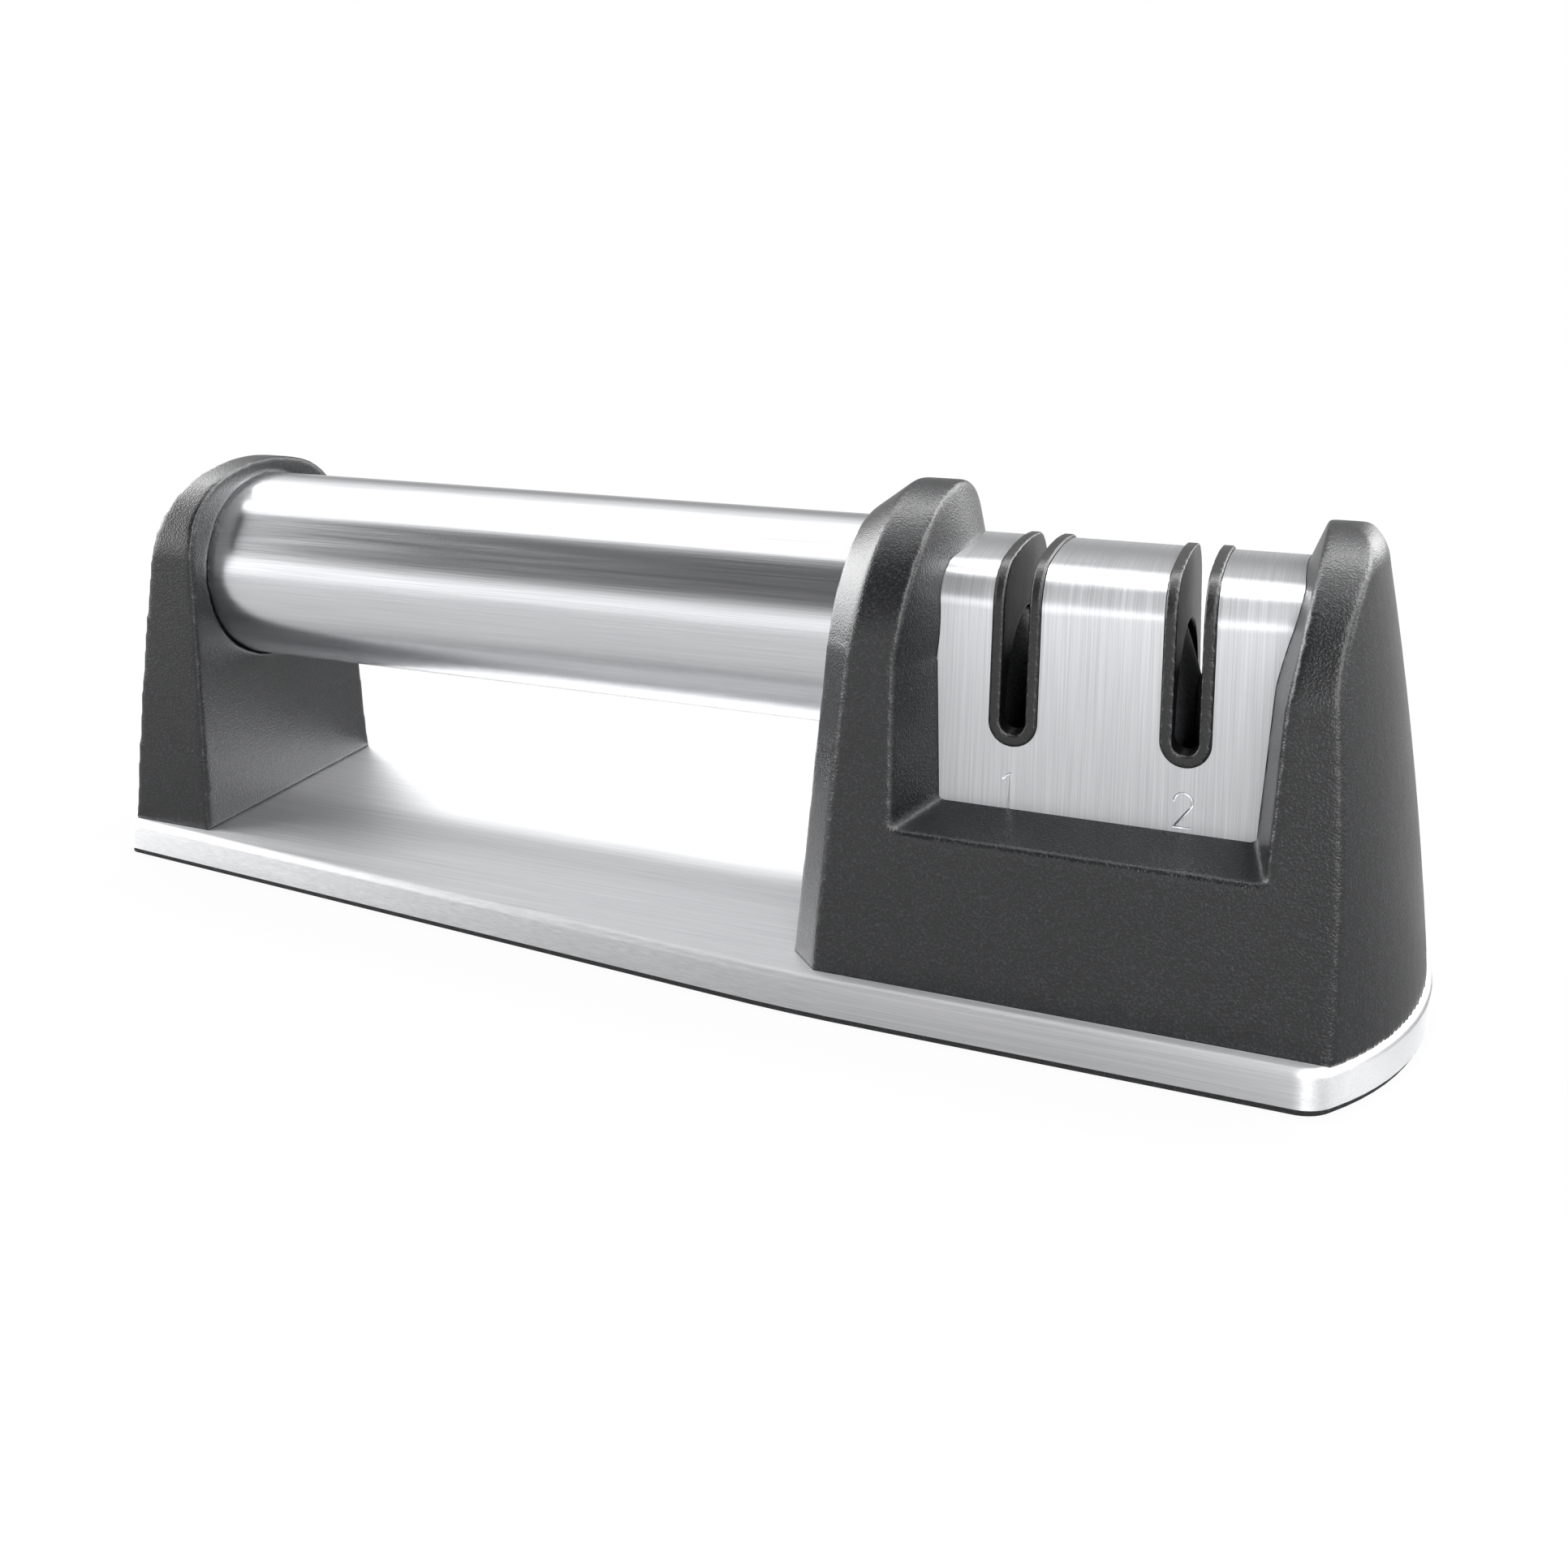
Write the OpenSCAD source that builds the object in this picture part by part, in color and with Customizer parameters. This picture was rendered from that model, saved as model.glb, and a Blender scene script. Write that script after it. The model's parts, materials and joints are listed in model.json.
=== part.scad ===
// Two-stage pull-through knife sharpener: a steel tube handle between a rear post
// and a sharpening head, all on a tapered steel tray with a rubber sole.
// Millimetres. +X runs along the handle to the head, +Z up, the sole rests on z = 0.
// The origin lies under the middle of the sole. Front is -Y, where the stages are numbered.

/* [Base] */
// Length of the base along X
base_len = 210; // [180:1:260]
// Width of the base under the head
base_w = 64; // [58:1:80]
// Height of the tray's top face above the table
base_top = 6.1; // [4.5:0.1:8]
// Sheet thickness of the tray
tray_t = 0.8; // [0.5:0.1:1.2]
// Angle of each tapered long side to X
taper_deg = 4.26; // [2:0.1:6]
// Radius that blends the tapered side into the parallel one
taper_blend_r = 250; // [100:10:400]
// Length of the parallel part of the sides, from the base's front end
parallel_in = 73; // [60:1:85]
// Radius of the bowed front end
end_r = 44; // [42:1:60]
// Corner radius at the front end
corner_r = 6; // [4:0.5:9]
// Corner radius at the rear end
rear_corner_r = 3; // [2:0.5:5]
// Thickness of the rubber sole
sole_t = 1.9; // [1.2:0.1:2.5]
// Part of the sole that shows below the tray
sole_show = 1; // [0.4:0.1:1.2]
// Step of the sole's edge in from the tray's side
sole_inset = 0.5; // [0.2:0.05:1]

/* [Rear post] */
// Distance of the post's flat face, where the tube enters, from the base's rear end
post_face_in = 18.4; // [17:0.1:22]
// Lean of the post's flat face away from the head
post_face_deg = 2.3; // [0:0.1:4]
// Thickness of the post at its foot
post_foot_t = 16; // [14:0.2:19]
// Half width of the post at its foot
post_half_w = 21.7; // [19:0.1:22]
// Lean of the post's front and back sides
post_side_deg = 2.3; // [0:0.1:3]
// Height of the post's crown above the tray
post_crown = 60.3; // [59:0.1:64]
// Radius of the post's crown
post_top_r = 32; // [24:1:60]
// Radius of the two shoulders beside the crown
post_shoulder_r = 14; // [8:0.5:16]
// Radius of the curved outer face
post_back_r = 630; // [300:10:900]
// Lean of the curved outer face at the foot
post_back_deg = 4.7; // [3:0.1:7]
// Wall of the post
post_wall = 2.5; // [1.8:0.1:3]

/* [Handle tube] */
// Outside diameter of the tube
tube_d = 32; // [28:0.5:34]
// Wall of the tube
tube_wall = 0.8; // [0.6:0.1:1.5]
// Height of the tube's axis above the tray
tube_axis = 41.6; // [40:0.2:44]
// Depth of the seat that takes each end of the tube
seat_depth = 1.4; // [0.8:0.1:2]
// Radial clearance of the tube in its seats
seat_gap = 0.2; // [0.1:0.05:0.4]
// Length of the spigots that fill the tube's ends
spigot_len = 12; // [8:1:20]
// Wall of the spigots
spigot_wall = 2.4; // [1.8:0.1:4]
// Radial clearance of the spigots in the tube
spigot_gap = 0.15; // [0.05:0.05:0.3]

/* [Head housing] */
// Distance of the housing's rear face at its foot from the base's front end
head_in = 83.7; // [80:0.1:90]
// Lean of the rear face
head_rear_deg = 3.4; // [0:0.1:6]
// Twist of the broad chamfer over the arch of the rear fin
chamfer_deg = 3; // [0:0.5:5]
// Half width of the housing at its foot
head_half_w = 29.9; // [28:0.1:31]
// Lean of the front and back sides
head_side_deg = 9.1; // [6:0.1:10]
// Crown of the rear fin above the tray
rear_crown = 63.7; // [62:0.1:66]
// Crown of the end fin above the tray
end_crown = 61.2; // [60:0.1:64]
// Depth in X of the broad chamfer round the rear face
chamfer_x = 4.35; // [3:0.05:5]
// Inset of that chamfer from the sides
chamfer_in = 4.1; // [3:0.05:5]
// Step of the housing's end in from the end of the tray
head_end_gap = 0.7; // [0.5:0.1:3]
// Plan radius of the housing's end at its foot
head_end_r = 45; // [44:1:60]
// Lean of the end face at its foot
head_end_deg = 4.6; // [2:0.1:6]
// Radius of the curve that the end face follows upwards
head_end_curve_r = 600; // [300:10:900]
// Rounding of the end fin's top edge
end_fin_round = 5; // [3:0.5:7]
// Wall of the housing
head_wall = 2.5; // [2:0.1:3]

/* [Steel cover] */
// Distance of the middle between the two slots from the base's front end
cover_in = 43.6; // [42:0.1:45]
// Crown of the cover above the tray
cover_crown = 55.3; // [54:0.1:57]
// Radius of the cover's shallow crown
cover_top_r = 60; // [30:1:90]
// Radius of the cover's shoulders
cover_shoulder_r = 6.5; // [5:0.1:9]
// Half width of the cover's sides, carried down to the tray
cover_half_w = 19.7; // [18.5:0.1:20.5]
// Lean of the cover's flat sides
cover_side_deg = 6.7; // [4:0.1:8]
// Sheet thickness of the cover
cover_t = 0.6; // [0.4:0.1:1]
// Height of the cover's lower edge above the tray
cover_low = 21.8; // [20:0.2:24]
// Distance of the cover's rear edge from the base's front end
cover_rear_in = 65.2; // [64:0.1:67]
// Lean of that edge, the draft of the rear recess wall
cover_rear_deg = 2.9; // [1:0.1:5]
// Distance of the cover's other edge at its lower corner from the base's front end
cover_end_in = 22.5; // [21:0.1:24]
// Lean of that edge, which follows the end fin
cover_end_deg = 4.2; // [2:0.1:6]
// Gap between the cover and the housing round it
cover_gap = 0.1; // [0.05:0.05:0.3]
// Flare of the rear recess wall, in X for each unit outwards
rear_flare_share = 0.45; // [0.2:0.01:0.5]
// Flare of the end recess wall, in X for each unit outwards
end_flare_share = 0.2; // [0.1:0.01:0.4]
// Twist of the rear recess wall over the arch, towards the slots
rear_wall_deg = 10; // [0:0.5:12]
// Twist of the end recess wall over the arch, away from the slots
end_wall_deg = 7; // [0:0.5:10]
// Slope of the ledge below the cover
ledge_deg = 8.5; // [5:0.5:20]
// Wall of the saddle that backs the cover
saddle_wall = 2; // [1.5:0.1:2.4]

/* [Slots] */
// Distance between the two slots
slot_pitch = 23.1; // [22:0.1:25]
// Width of the openings in the cover
slot_w = 6.8; // [6.6:0.1:7.2]
// Lowest point of the openings above the tray
slot_low = 30.3; // [29:0.1:32]
// Gap that the blade passes through
blade_gap = 3.4; // [3:0.1:3.8]
// Clearance of the liners in the openings
liner_gap = 0.1; // [0.05:0.05:0.2]
// Height of the liners' rims above the cover
liner_proud = 0.5; // [0.3:0.1:1.2]
// Gap between the liners' inner edges and the wheels' rims
liner_wheel_gap = 0.3; // [0.2:0.05:0.5]

/* [Wheels] */
// Diameter of the sharpening wheels
wheel_d = 25; // [22:0.2:25.2]
// Thickness of one wheel
wheel_t = 3; // [2.6:0.1:3.2]
// Height of the wheel axes above the tray
wheel_axis = 33; // [32:0.1:34]
// Smallest radius of a coarse wheel, where the cones meet
coarse_waist_r = 4.6; // [4:0.1:6]
// Smallest radius of a fine wheel, where the cones meet
fine_waist_r = 5.2; // [4:0.1:6]
// Cone angle of a coarse wheel from upright, half the edge angle
coarse_deg = 18; // [14:0.5:22]
// Cone angle of a fine wheel from upright, half the edge angle
fine_deg = 20; // [14:0.5:22]
// Gap between the two wheels of a pair
wheel_split = 0.2; // [0.1:0.1:0.6]
// Diameter of the axles
axle_d = 4; // [3:0.1:4.4]
// Radial running clearance of the axles in their bushes
axle_run = 0.05; // [0.02:0.01:0.08]
// Outside diameter of the bushes
bush_d = 7; // [6:0.1:7.6]
// Outside diameter of the bushes' flanges
bush_flange_d = 9; // [8:0.1:10]
// Thickness of the bushes' flanges
bush_flange_t = 0.8; // [0.6:0.1:1]
// Side play between a flange and its wheel
side_play = 0.2; // [0.1:0.05:0.3]
// Thickness of the cheeks that hold the bushes
cheek_t = 3; // [2.4:0.1:3.2]

/* [Wheel frame] */
// Half length of the frame's floor
frame_half_x = 20.5; // [20:0.1:22]
// Half width of the frame's floor
frame_half_y = 20.5; // [18:0.1:22]
// Top of the frame's floor above the tray
frame_floor = 13; // [12:0.2:15]
// Thickness of the frame's floor
frame_floor_t = 3; // [2:0.2:4]
// Half width of the cheeks at the floor
cheek_foot = 10; // [8:0.2:12]
// Half width of the cheeks at the bushes
cheek_tip = 6; // [5:0.2:8]
// Gap between the frame's last cheek and the saddle's end wall
frame_gap = 0.2; // [0.1:0.05:0.4]

/* [Screws] */
// Thread diameter of the self-tapping screws
screw_d = 3; // [2.5:0.1:3.5]
// Length of the screws under the head
screw_len = 12; // [10:0.5:14]
// Diameter of the screw heads
screw_head_d = 5.6; // [5:0.1:6]
// Thickness of the screw heads
screw_head_t = 1.3; // [1:0.1:1.6]
// Radial clearance round the screws in the tray and the core
screw_gap = 0.2; // [0.1:0.05:0.5]
// Diameter of the moulded bosses
boss_d = 8; // [7:0.1:9]
// Height of the bosses above the tray
boss_h = 15; // [13:0.5:16]
// Distance of the post's two screws from the base's rear end
post_screw_in = 10.8; // [10:0.1:12]
// Y of the two screws in the post
post_screw_y = 12; // [8:0.5:15]
// Distance of the housing's two rear screws from the base's front end
head_screw_rear_in = 74.6; // [73:0.1:76]
// Y of the two screws at the rear of the housing
head_screw_rear_y = 20; // [16:0.5:21]
// Distance of the housing's two end screws from the base's front end
head_screw_end_in = 14; // [13:0.5:15]
// Y of the two screws at the end of the housing
head_screw_end_y = 16; // [12:0.5:17]
// Half distance in X between the frame's screws
frame_screw_x = 16; // [14:0.5:17]
// Half distance in Y between the frame's screws
frame_screw_y = 16; // [14:0.5:17]

/* [Hidden] */
$fn = 96;
// Overrun of every cut past the face that it leaves through
over = 1;

// Base outline
rear_x = -base_len / 2;
front_x = base_len / 2;
half_w = base_w / 2;
parallel_x = front_x - parallel_in;
end_centre_x = front_x - end_r;
corner_y = half_w - corner_r;
corner_x = end_centre_x + sqrt(pow(end_r - corner_r, 2) - pow(corner_y, 2));
corner_deg = atan2(corner_y, corner_x - end_centre_x);
blend_y = half_w - taper_blend_r;
taper_x = parallel_x - taper_blend_r * sin(taper_deg);
taper_y = blend_y + taper_blend_r * cos(taper_deg);
rear_corner_x = rear_x + rear_corner_r;
rear_corner_y = taper_y - (taper_x - rear_corner_x) * tan(taper_deg) - rear_corner_r / cos(taper_deg);
corner_steps = 6;
// The outline's arcs, counter-clockwise from the front end: centre, radius, first and last angle
half_arcs = [[[corner_x, corner_y], corner_r, corner_deg, 90],
             [[parallel_x, blend_y], taper_blend_r, 90, 90 + taper_deg],
             [[rear_corner_x, rear_corner_y], rear_corner_r, 90 + taper_deg, 180]];
base_arcs = concat([[[end_centre_x, 0], end_r, -corner_deg, corner_deg]], half_arcs,
    [for (i = [len(half_arcs) - 1 : -1 : 0]) let (a = half_arcs[i])
        [[a[0][0], -a[0][1]], a[1], 360 - a[3], 360 - a[2]]]);
// Facets of a whole circle for the blend's large radius
blend_fn = 720;

// Arches of the fins and of the post
rear_arcs = round_arch(head_half_w, rear_crown, head_side_deg);
end_arcs = round_arch(head_half_w, end_crown, head_side_deg);
post_arcs = arch_arcs(post_half_w, post_side_deg, post_crown, post_top_r, post_shoulder_r);

// Lines and wide arcs are tucked in under the arcs that meet them, so that each join is a clean edge
tuck = over * 0.01;
// Depth of a filled arc below its chord
arc_root = over;

// Levels of the base
skirt_low = sole_show;
core_top = base_top - tray_t;
core_low = sole_t;

// Post
post_face_x = rear_x + post_face_in;
post_rear_x = post_face_x - post_foot_t;
// X of the seat's floor in the post, past the leaning flat face at the tube's top
post_seat_x = post_face_x - (tube_axis + tube_d / 2) * tan(post_face_deg) - seat_depth / 2;
post_back_cx = post_rear_x + post_back_r * cos(post_back_deg);
post_back_cz = -post_back_r * sin(post_back_deg);
post_back_steps = 10;

// Head
head_x = front_x - head_in;
cover_x = front_x - cover_in;
cover_rear_x = front_x - cover_rear_in;
cover_end_x = front_x - cover_end_in;
head_axis_x = front_x - head_end_gap - head_end_r;
head_curve_cr = head_end_r - head_end_curve_r * cos(head_end_deg);
head_curve_cz = -head_end_curve_r * sin(head_end_deg);
head_curve_steps = 10;
fin_split_x = cover_x;
// Past any face of the head, for the limits of its cuts
far = base_len;

// Cover and saddle share one arch: they are parallel to it
cover_arcs = arch_arcs(cover_half_w, cover_side_deg, cover_crown, cover_top_r, cover_shoulder_r);
// The recess walls are drawn round a plain arch between the cover's flanks and crown
wall_arch = round_arch(cover_half_w, cover_crown, cover_side_deg);
flank_z = arc_point(wall_arch[0], cover_side_deg, 0)[1];
ledge_y = cover_half_w - cover_low * tan(cover_side_deg);
hollow_in = cover_t + saddle_wall;
// Part of the turn by which the recess over the arch runs on past the flanks
wall_lap_deg = 4;
wall_back = 2 * (cover_end_x - cover_x) * sin(end_wall_deg);

// Slots and wheels
coarse_x = cover_x - slot_pitch / 2;
fine_x = cover_x + slot_pitch / 2;
liner_w = slot_w - 2 * liner_gap;
rotor_half = wheel_t + wheel_split / 2;
flange_x = rotor_half + side_play;
cheek_x = flange_x + bush_flange_t;
axle_half = cheek_x + cheek_t;
// Gap between the saddle's cheeks and the frame's cheeks
seat_split = 0.1;
// Where the recess walls pass from the flanks to the arch
end_knee_x = cover_end_x + (flank_z - cover_low) * tan(cover_end_deg);
rear_knee_x = cover_rear_x - (flank_z - cover_low) * tan(cover_rear_deg);

// Screws
// Pilot hole of a self-tapping screw as a share of its thread
pilot_share = 0.84;
screw_pilot_d = screw_d * pilot_share;
post_screws_at = [for (s = [-1, 1]) [rear_x + post_screw_in, s * post_screw_y]];
housing_screws_at = [for (s = [-1, 1]) each [[front_x - head_screw_rear_in, s * head_screw_rear_y],
                                             [front_x - head_screw_end_in, s * head_screw_end_y]]];
frame_screws_at = [for (i = [-1, 1], j = [-1, 1]) [cover_x + i * frame_screw_x, j * frame_screw_y]];
all_screws_at = concat(post_screws_at, housing_screws_at, frame_screws_at);
screw_seat_z = core_low + screw_head_t;

black = "#2b2c30";
steel = "#c9cacd";

// Points along an arc of radius r round c, from angle a0 to a1
function arc(c, r, a0, a1, steps) =
    [for (i = [0 : steps]) let (a = a0 + (a1 - a0) * i / steps) c + r * [cos(a), sin(a)]];

// Point of an arc of the base outline at angle a, stepped in by d
function arc_point(s, a, d) = s[0] + (s[1] - d) * [cos(a), sin(a)];

// Facets of a whole circle for an arc
function arc_fn(s) = s[1] > end_r ? blend_fn : $fn;

// Arcs of an arch with leaning flanks, w from the middle at height 0: shoulder, crown, shoulder
function arch_arcs(w, a, crown, top_r, r) =
    let (low = crown - top_r,
         turn = a + acos((w * cos(a) - r - low * sin(a)) / (top_r - r)),
         y = (top_r - r) * cos(turn),
         z = low + (top_r - r) * sin(turn))
    [[[y, z], r, a, turn], [[0, low], top_r, turn, 180 - turn], [[-y, z], r, 180 - turn, 180 - a]];

// Arch of a single arc between the same flanks and crown
function round_arch(w, crown, a) =
    let (r = arch_r(w, crown, a)) [[[0, crown - r], r, a, 180 - a]];

// Radius of an arch whose flanks lean by a and stand w apart from the middle at height 0
function arch_r(w, crown, a) = (w * cos(a) - crown * sin(a)) / (1 - sin(a));

// X of the post's curved outer face at height z, with the wall d taken off
function post_back_x(z, d) =
    post_back_cx - sqrt(pow(post_back_r - d, 2) - pow(z - post_back_cz, 2));

// Radius of the housing's end face about its upright axis at height z
function head_end_at(z, d) =
    head_curve_cr + sqrt(pow(head_end_curve_r - d, 2) - pow(z - head_curve_cz, 2));

// How far an arc is tucked in, where a tighter arc meets it
function arc_meets(a, b) = norm(arc_point(b, b[2], 0) - arc_point(a, a[3], 0)) < over;
function arc_tuck(arcs, i) =
    let (n = len(arcs), s = arcs[i], before = arcs[(i + n - 1) % n], after = arcs[(i + 1) % n])
    (before[1] < s[1] && arc_meets(before, s)) || (after[1] < s[1] && arc_meets(s, after)) ? tuck : 0;

// Turn by which an arc of radius r runs on, to end just under the lines beside it
function run_on(r) = acos(1 - 4 * tuck / r);

// Drawing inside a row of arcs, stepped in by d: their chords, each filled out to its round
module arcs_2d(arcs, d, ends = []) {
    corners = [for (s = arcs) each [arc_point(s, s[2], d + tuck), arc_point(s, s[3], d + tuck)]];
    polygon(concat(corners, ends));
    for (i = [0 : len(arcs) - 1]) {
        s = arcs[i];
        inset = d + arc_tuck(arcs, i);
        on = inset > d ? 0 : run_on(s[1] - d);
        middle = (s[2] + s[3]) / 2;
        rise = [cos(middle), sin(middle)];
        first = arc_point(s, s[2] - on, inset);
        last = arc_point(s, s[3] + on, inset);
        intersection() {
            translate(s[0]) circle(s[1] - inset, $fn = arc_fn(s));
            polygon([first - arc_root * rise, last - arc_root * rise,
                     last + s[1] * rise, first + s[1] * rise]);
        }
    }
}

module base_2d(d = 0) {
    arcs_2d(base_arcs, d);
}

// Sweeps a profile round a row of arcs: X outwards from the arcs, Y along their axis.
// Each arc runs on by lap, or just far enough to end under its neighbours.
module round_arcs(arcs, lap = 0) {
    for (i = [0 : len(arcs) - 1]) {
        s = arcs[i];
        inset = arc_tuck(arcs, i);
        on = inset > 0 ? 0 : max(lap, run_on(s[1]));
        turn = s[3] - s[2] + 2 * on;
        translate(s[0]) rotate([0, 0, s[2] - on]) rotate_extrude(angle = turn, $fn = arc_fn(s))
            intersection() {
                translate([s[1] - inset, 0]) children();
                translate([0, -far]) square([s[1] + far, 2 * far]);
            }
    }
}

// Runs the profile on straight from the point p, where the arcs face angle a, and back by back
module run_straight(p, a, length, forward, back = 0) {
    translate(p) rotate([90, 0, a]) mirror([0, 0, forward ? 1 : 0])
        translate([0, 0, -back]) linear_extrude(length + back) children();
}

// Sweeps a profile up one flank of an arch, over it and down the other. Y of the profile lies
// along X of the part. Over the arch the sweep turns by twist about the Y axis at X at, Z hinge.
// The flanks run on above the arch's foot by back.
module wall_sweep(arcs, run, at = 0, hinge = 0, twist = 0, lap = 0, back = 0) {
    last = arcs[len(arcs) - 1];
    translate([at, 0, hinge]) rotate([0, twist, 0]) translate([-at, 0, -hinge])
        rotate([90, 0, 90]) round_arcs(arcs, lap) children();
    rotate([90, 0, 90]) {
        run_straight(arc_point(arcs[0], arcs[0][2], 0), arcs[0][2], run, false, back) children();
        run_straight(arc_point(last, last[3], 0), last[3], run, true, back) children();
    }
}

// Extrudes a drawing of Y and Z along X
module along_x(x0, x1) {
    translate([x0, 0, 0]) rotate([90, 0, 90]) linear_extrude(x1 - x0) children();
}

// Extrudes a drawing of X and Z along Y, both ways from the middle
module along_y(half) {
    rotate([90, 0, 0]) linear_extrude(2 * half, center = true) children();
}

module above_tray() {
    translate([0, 0, base_top]) children();
}

// Section inside an arch and its flanks down to height low, stepped in by d
module arch_2d(arcs, d, low) {
    a = arcs[0][2];
    tangent = arc_point(arcs[0], a, d + tuck);
    foot = tangent[0] + (tangent[1] - low) * tan(a);
    arcs_2d(arcs, d, [[-foot, low], [foot, low]]);
}

// Section of the cover's arch, stepped in by d
module cover_2d(d, low) {
    arch_2d(cover_arcs, d, low);
}

// Through cut of a slot or a gap of width w
module slot_cut(x, w, low) {
    along_y(head_half_w) {
        translate([x, low + w / 2]) circle(w / 2);
        translate([x - w / 2, low + w / 2]) square([w, cover_crown]);
    }
}

module screw_holes(places, d, z0, z1) {
    for (p = places) translate([p[0], p[1], z0]) cylinder(d = d, h = z1 - z0);
}

module base_tray() {
    color(steel) difference() {
        translate([0, 0, skirt_low]) linear_extrude(base_top - skirt_low) base_2d();
        translate([0, 0, skirt_low - over]) linear_extrude(core_top - skirt_low + over) base_2d(tray_t);
        screw_holes(all_screws_at, screw_d + 2 * screw_gap, core_top - over, base_top + over);
    }
}

module base_core() {
    color("#3a3b3e") difference() {
        translate([0, 0, core_low]) linear_extrude(core_top - core_low) base_2d(tray_t + cover_gap);
        screw_holes(all_screws_at, screw_d + 2 * screw_gap, core_low - over, core_top + over);
        screw_holes(all_screws_at, screw_head_d + 2 * screw_gap, core_low - over, screw_seat_z);
    }
}

module rubber_sole() {
    color("#26272a") {
        linear_extrude(skirt_low) base_2d(sole_inset);
        linear_extrude(core_low) base_2d(tray_t + cover_gap);
    }
}

// Side view of the post in X and Z, between its flat face and its curved back
module post_side_2d(d, low = 0) {
    top = post_crown + over;
    step = (top - low) / post_back_steps;
    polygon(concat([for (i = [0 : post_back_steps]) let (z = low + i * step) [post_back_x(z, d), z]],
                   [for (z = [top, low]) [post_face_x - d - z * tan(post_face_deg), z]]));
}

module post_body(d, low = 0) {
    intersection() {
        along_x(post_rear_x - over, post_face_x + over) arch_2d(post_arcs, d, low);
        along_y(head_half_w) post_side_2d(d, low);
    }
}

// Ring that fills one end of the tube, from x0 to x1
module spigot(x0, x1) {
    d = tube_d - 2 * tube_wall - 2 * spigot_gap;
    translate([x0, 0, tube_axis]) rotate([0, 90, 0]) difference() {
        cylinder(d = d, h = x1 - x0);
        translate([0, 0, -over]) cylinder(d = d - 2 * spigot_wall, h = x1 - x0 + 2 * over);
    }
}

module tube_seat(x0, x1) {
    translate([x0, 0, tube_axis]) rotate([0, 90, 0]) cylinder(d = tube_d + 2 * seat_gap, h = x1 - x0);
}

module screw_bosses(places) {
    for (p = places) translate([p[0], p[1], 0]) cylinder(d = boss_d, h = boss_h);
}

module rear_post() {
    color(black) above_tray() difference() {
        union() {
            difference() {
                post_body(0);
                post_body(post_wall, -over);
            }
            intersection() {
                post_body(0);
                union() {
                    along_x(post_seat_x - post_wall, post_face_x)
                        translate([0, tube_axis]) circle(d = tube_d + 2 * post_wall);
                    screw_bosses(post_screws_at);
                    for (p = post_screws_at) translate([post_rear_x, p[1] - post_wall / 2, 0])
                        cube([post_foot_t, post_wall, boss_h]);
                }
            }
            spigot(post_seat_x - post_wall / 2, post_seat_x + spigot_len);
        }
        difference() {
            tube_seat(post_seat_x, post_face_x + over);
            spigot(post_seat_x - over, post_face_x + 2 * over);
        }
        screw_holes(post_screws_at, screw_pilot_d, -over, boss_h - post_wall);
    }
}

module handle_tube() {
    x0 = post_seat_x;
    x1 = tube_end_x;
    color(steel) above_tray() translate([x0, 0, tube_axis]) rotate([0, 90, 0]) difference() {
        cylinder(d = tube_d, h = x1 - x0);
        translate([0, 0, -over]) cylinder(d = tube_d - 2 * tube_wall, h = x1 - x0 + 2 * over);
    }
}

// X of the seat's floor in the head, past the leaning rear face at the tube's top
tube_end_x = head_x + (tube_axis + tube_d / 2) * tan(head_rear_deg) + seat_depth / 2;

// Everything on the end side of the housing's end face, revolved about an upright axis
module head_end_limit(d, low) {
    top = end_crown + over;
    knee = end_crown - end_fin_round;
    step = (knee - low) / head_curve_steps;
    r_knee = head_end_at(knee, d);
    translate([head_axis_x, 0, 0]) rotate_extrude()
        polygon(concat([[0, low]],
            [for (i = [0 : head_curve_steps]) let (z = low + i * step) [head_end_at(z, d), z]],
            arc([r_knee - end_fin_round, knee], end_fin_round - d, 0, 90, corner_steps),
            [[r_knee - end_fin_round, top], [0, top]]));
    translate([head_x - 2 * over, -head_half_w - over, low])
        cube([head_axis_x - head_x + 2 * over, 2 * (head_half_w + over), rear_crown + over - low]);
}

module head_outside() {
    r = rear_arcs[0][1];
    slope = chamfer_x / chamfer_in;
    inside = r + rear_crown * sin(head_side_deg);
    intersection() {
        along_x(head_x, fin_split_x) arch_2d(rear_arcs, 0, 0);
        translate([head_x, 0, 0]) rotate([0, head_rear_deg, 0]) {
            intersection() {
                translate([0, -far, -far]) cube([far, 2 * far, 2 * far]);
                wall_sweep(rear_arcs, rear_crown, chamfer_x, rear_arcs[0][0][1], chamfer_deg, wall_lap_deg)
                    polygon([[-inside, (chamfer_in - inside) * slope], [r, (chamfer_in + r) * slope],
                             [r, far], [-inside, far]]);
            }
        }
    }
    intersection() {
        along_x(fin_split_x, front_x) arch_2d(end_arcs, 0, 0);
        head_end_limit(0, -over);
    }
}

// Leans a recess wall about the cover's lower corner at x
module lean_at(x, deg) {
    translate([x, 0, cover_low]) rotate([0, deg, 0]) translate([-x, 0, -cover_low]) children();
}

// Everything on the slots' side of the rear recess wall, moved towards them by d
module rear_wall(d) {
    inside = wall_arch[0][1];
    share = rear_flare_share;
    x = cover_rear_x + d;
    lean_at(cover_rear_x, -cover_rear_deg)
        wall_sweep(wall_arch, flank_z, cover_rear_x, flank_z, rear_wall_deg, wall_lap_deg)
            polygon([[-inside, x + inside * share], [head_half_w, x - head_half_w * share],
                     [head_half_w, far], [-inside, far]]);
}

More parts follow.
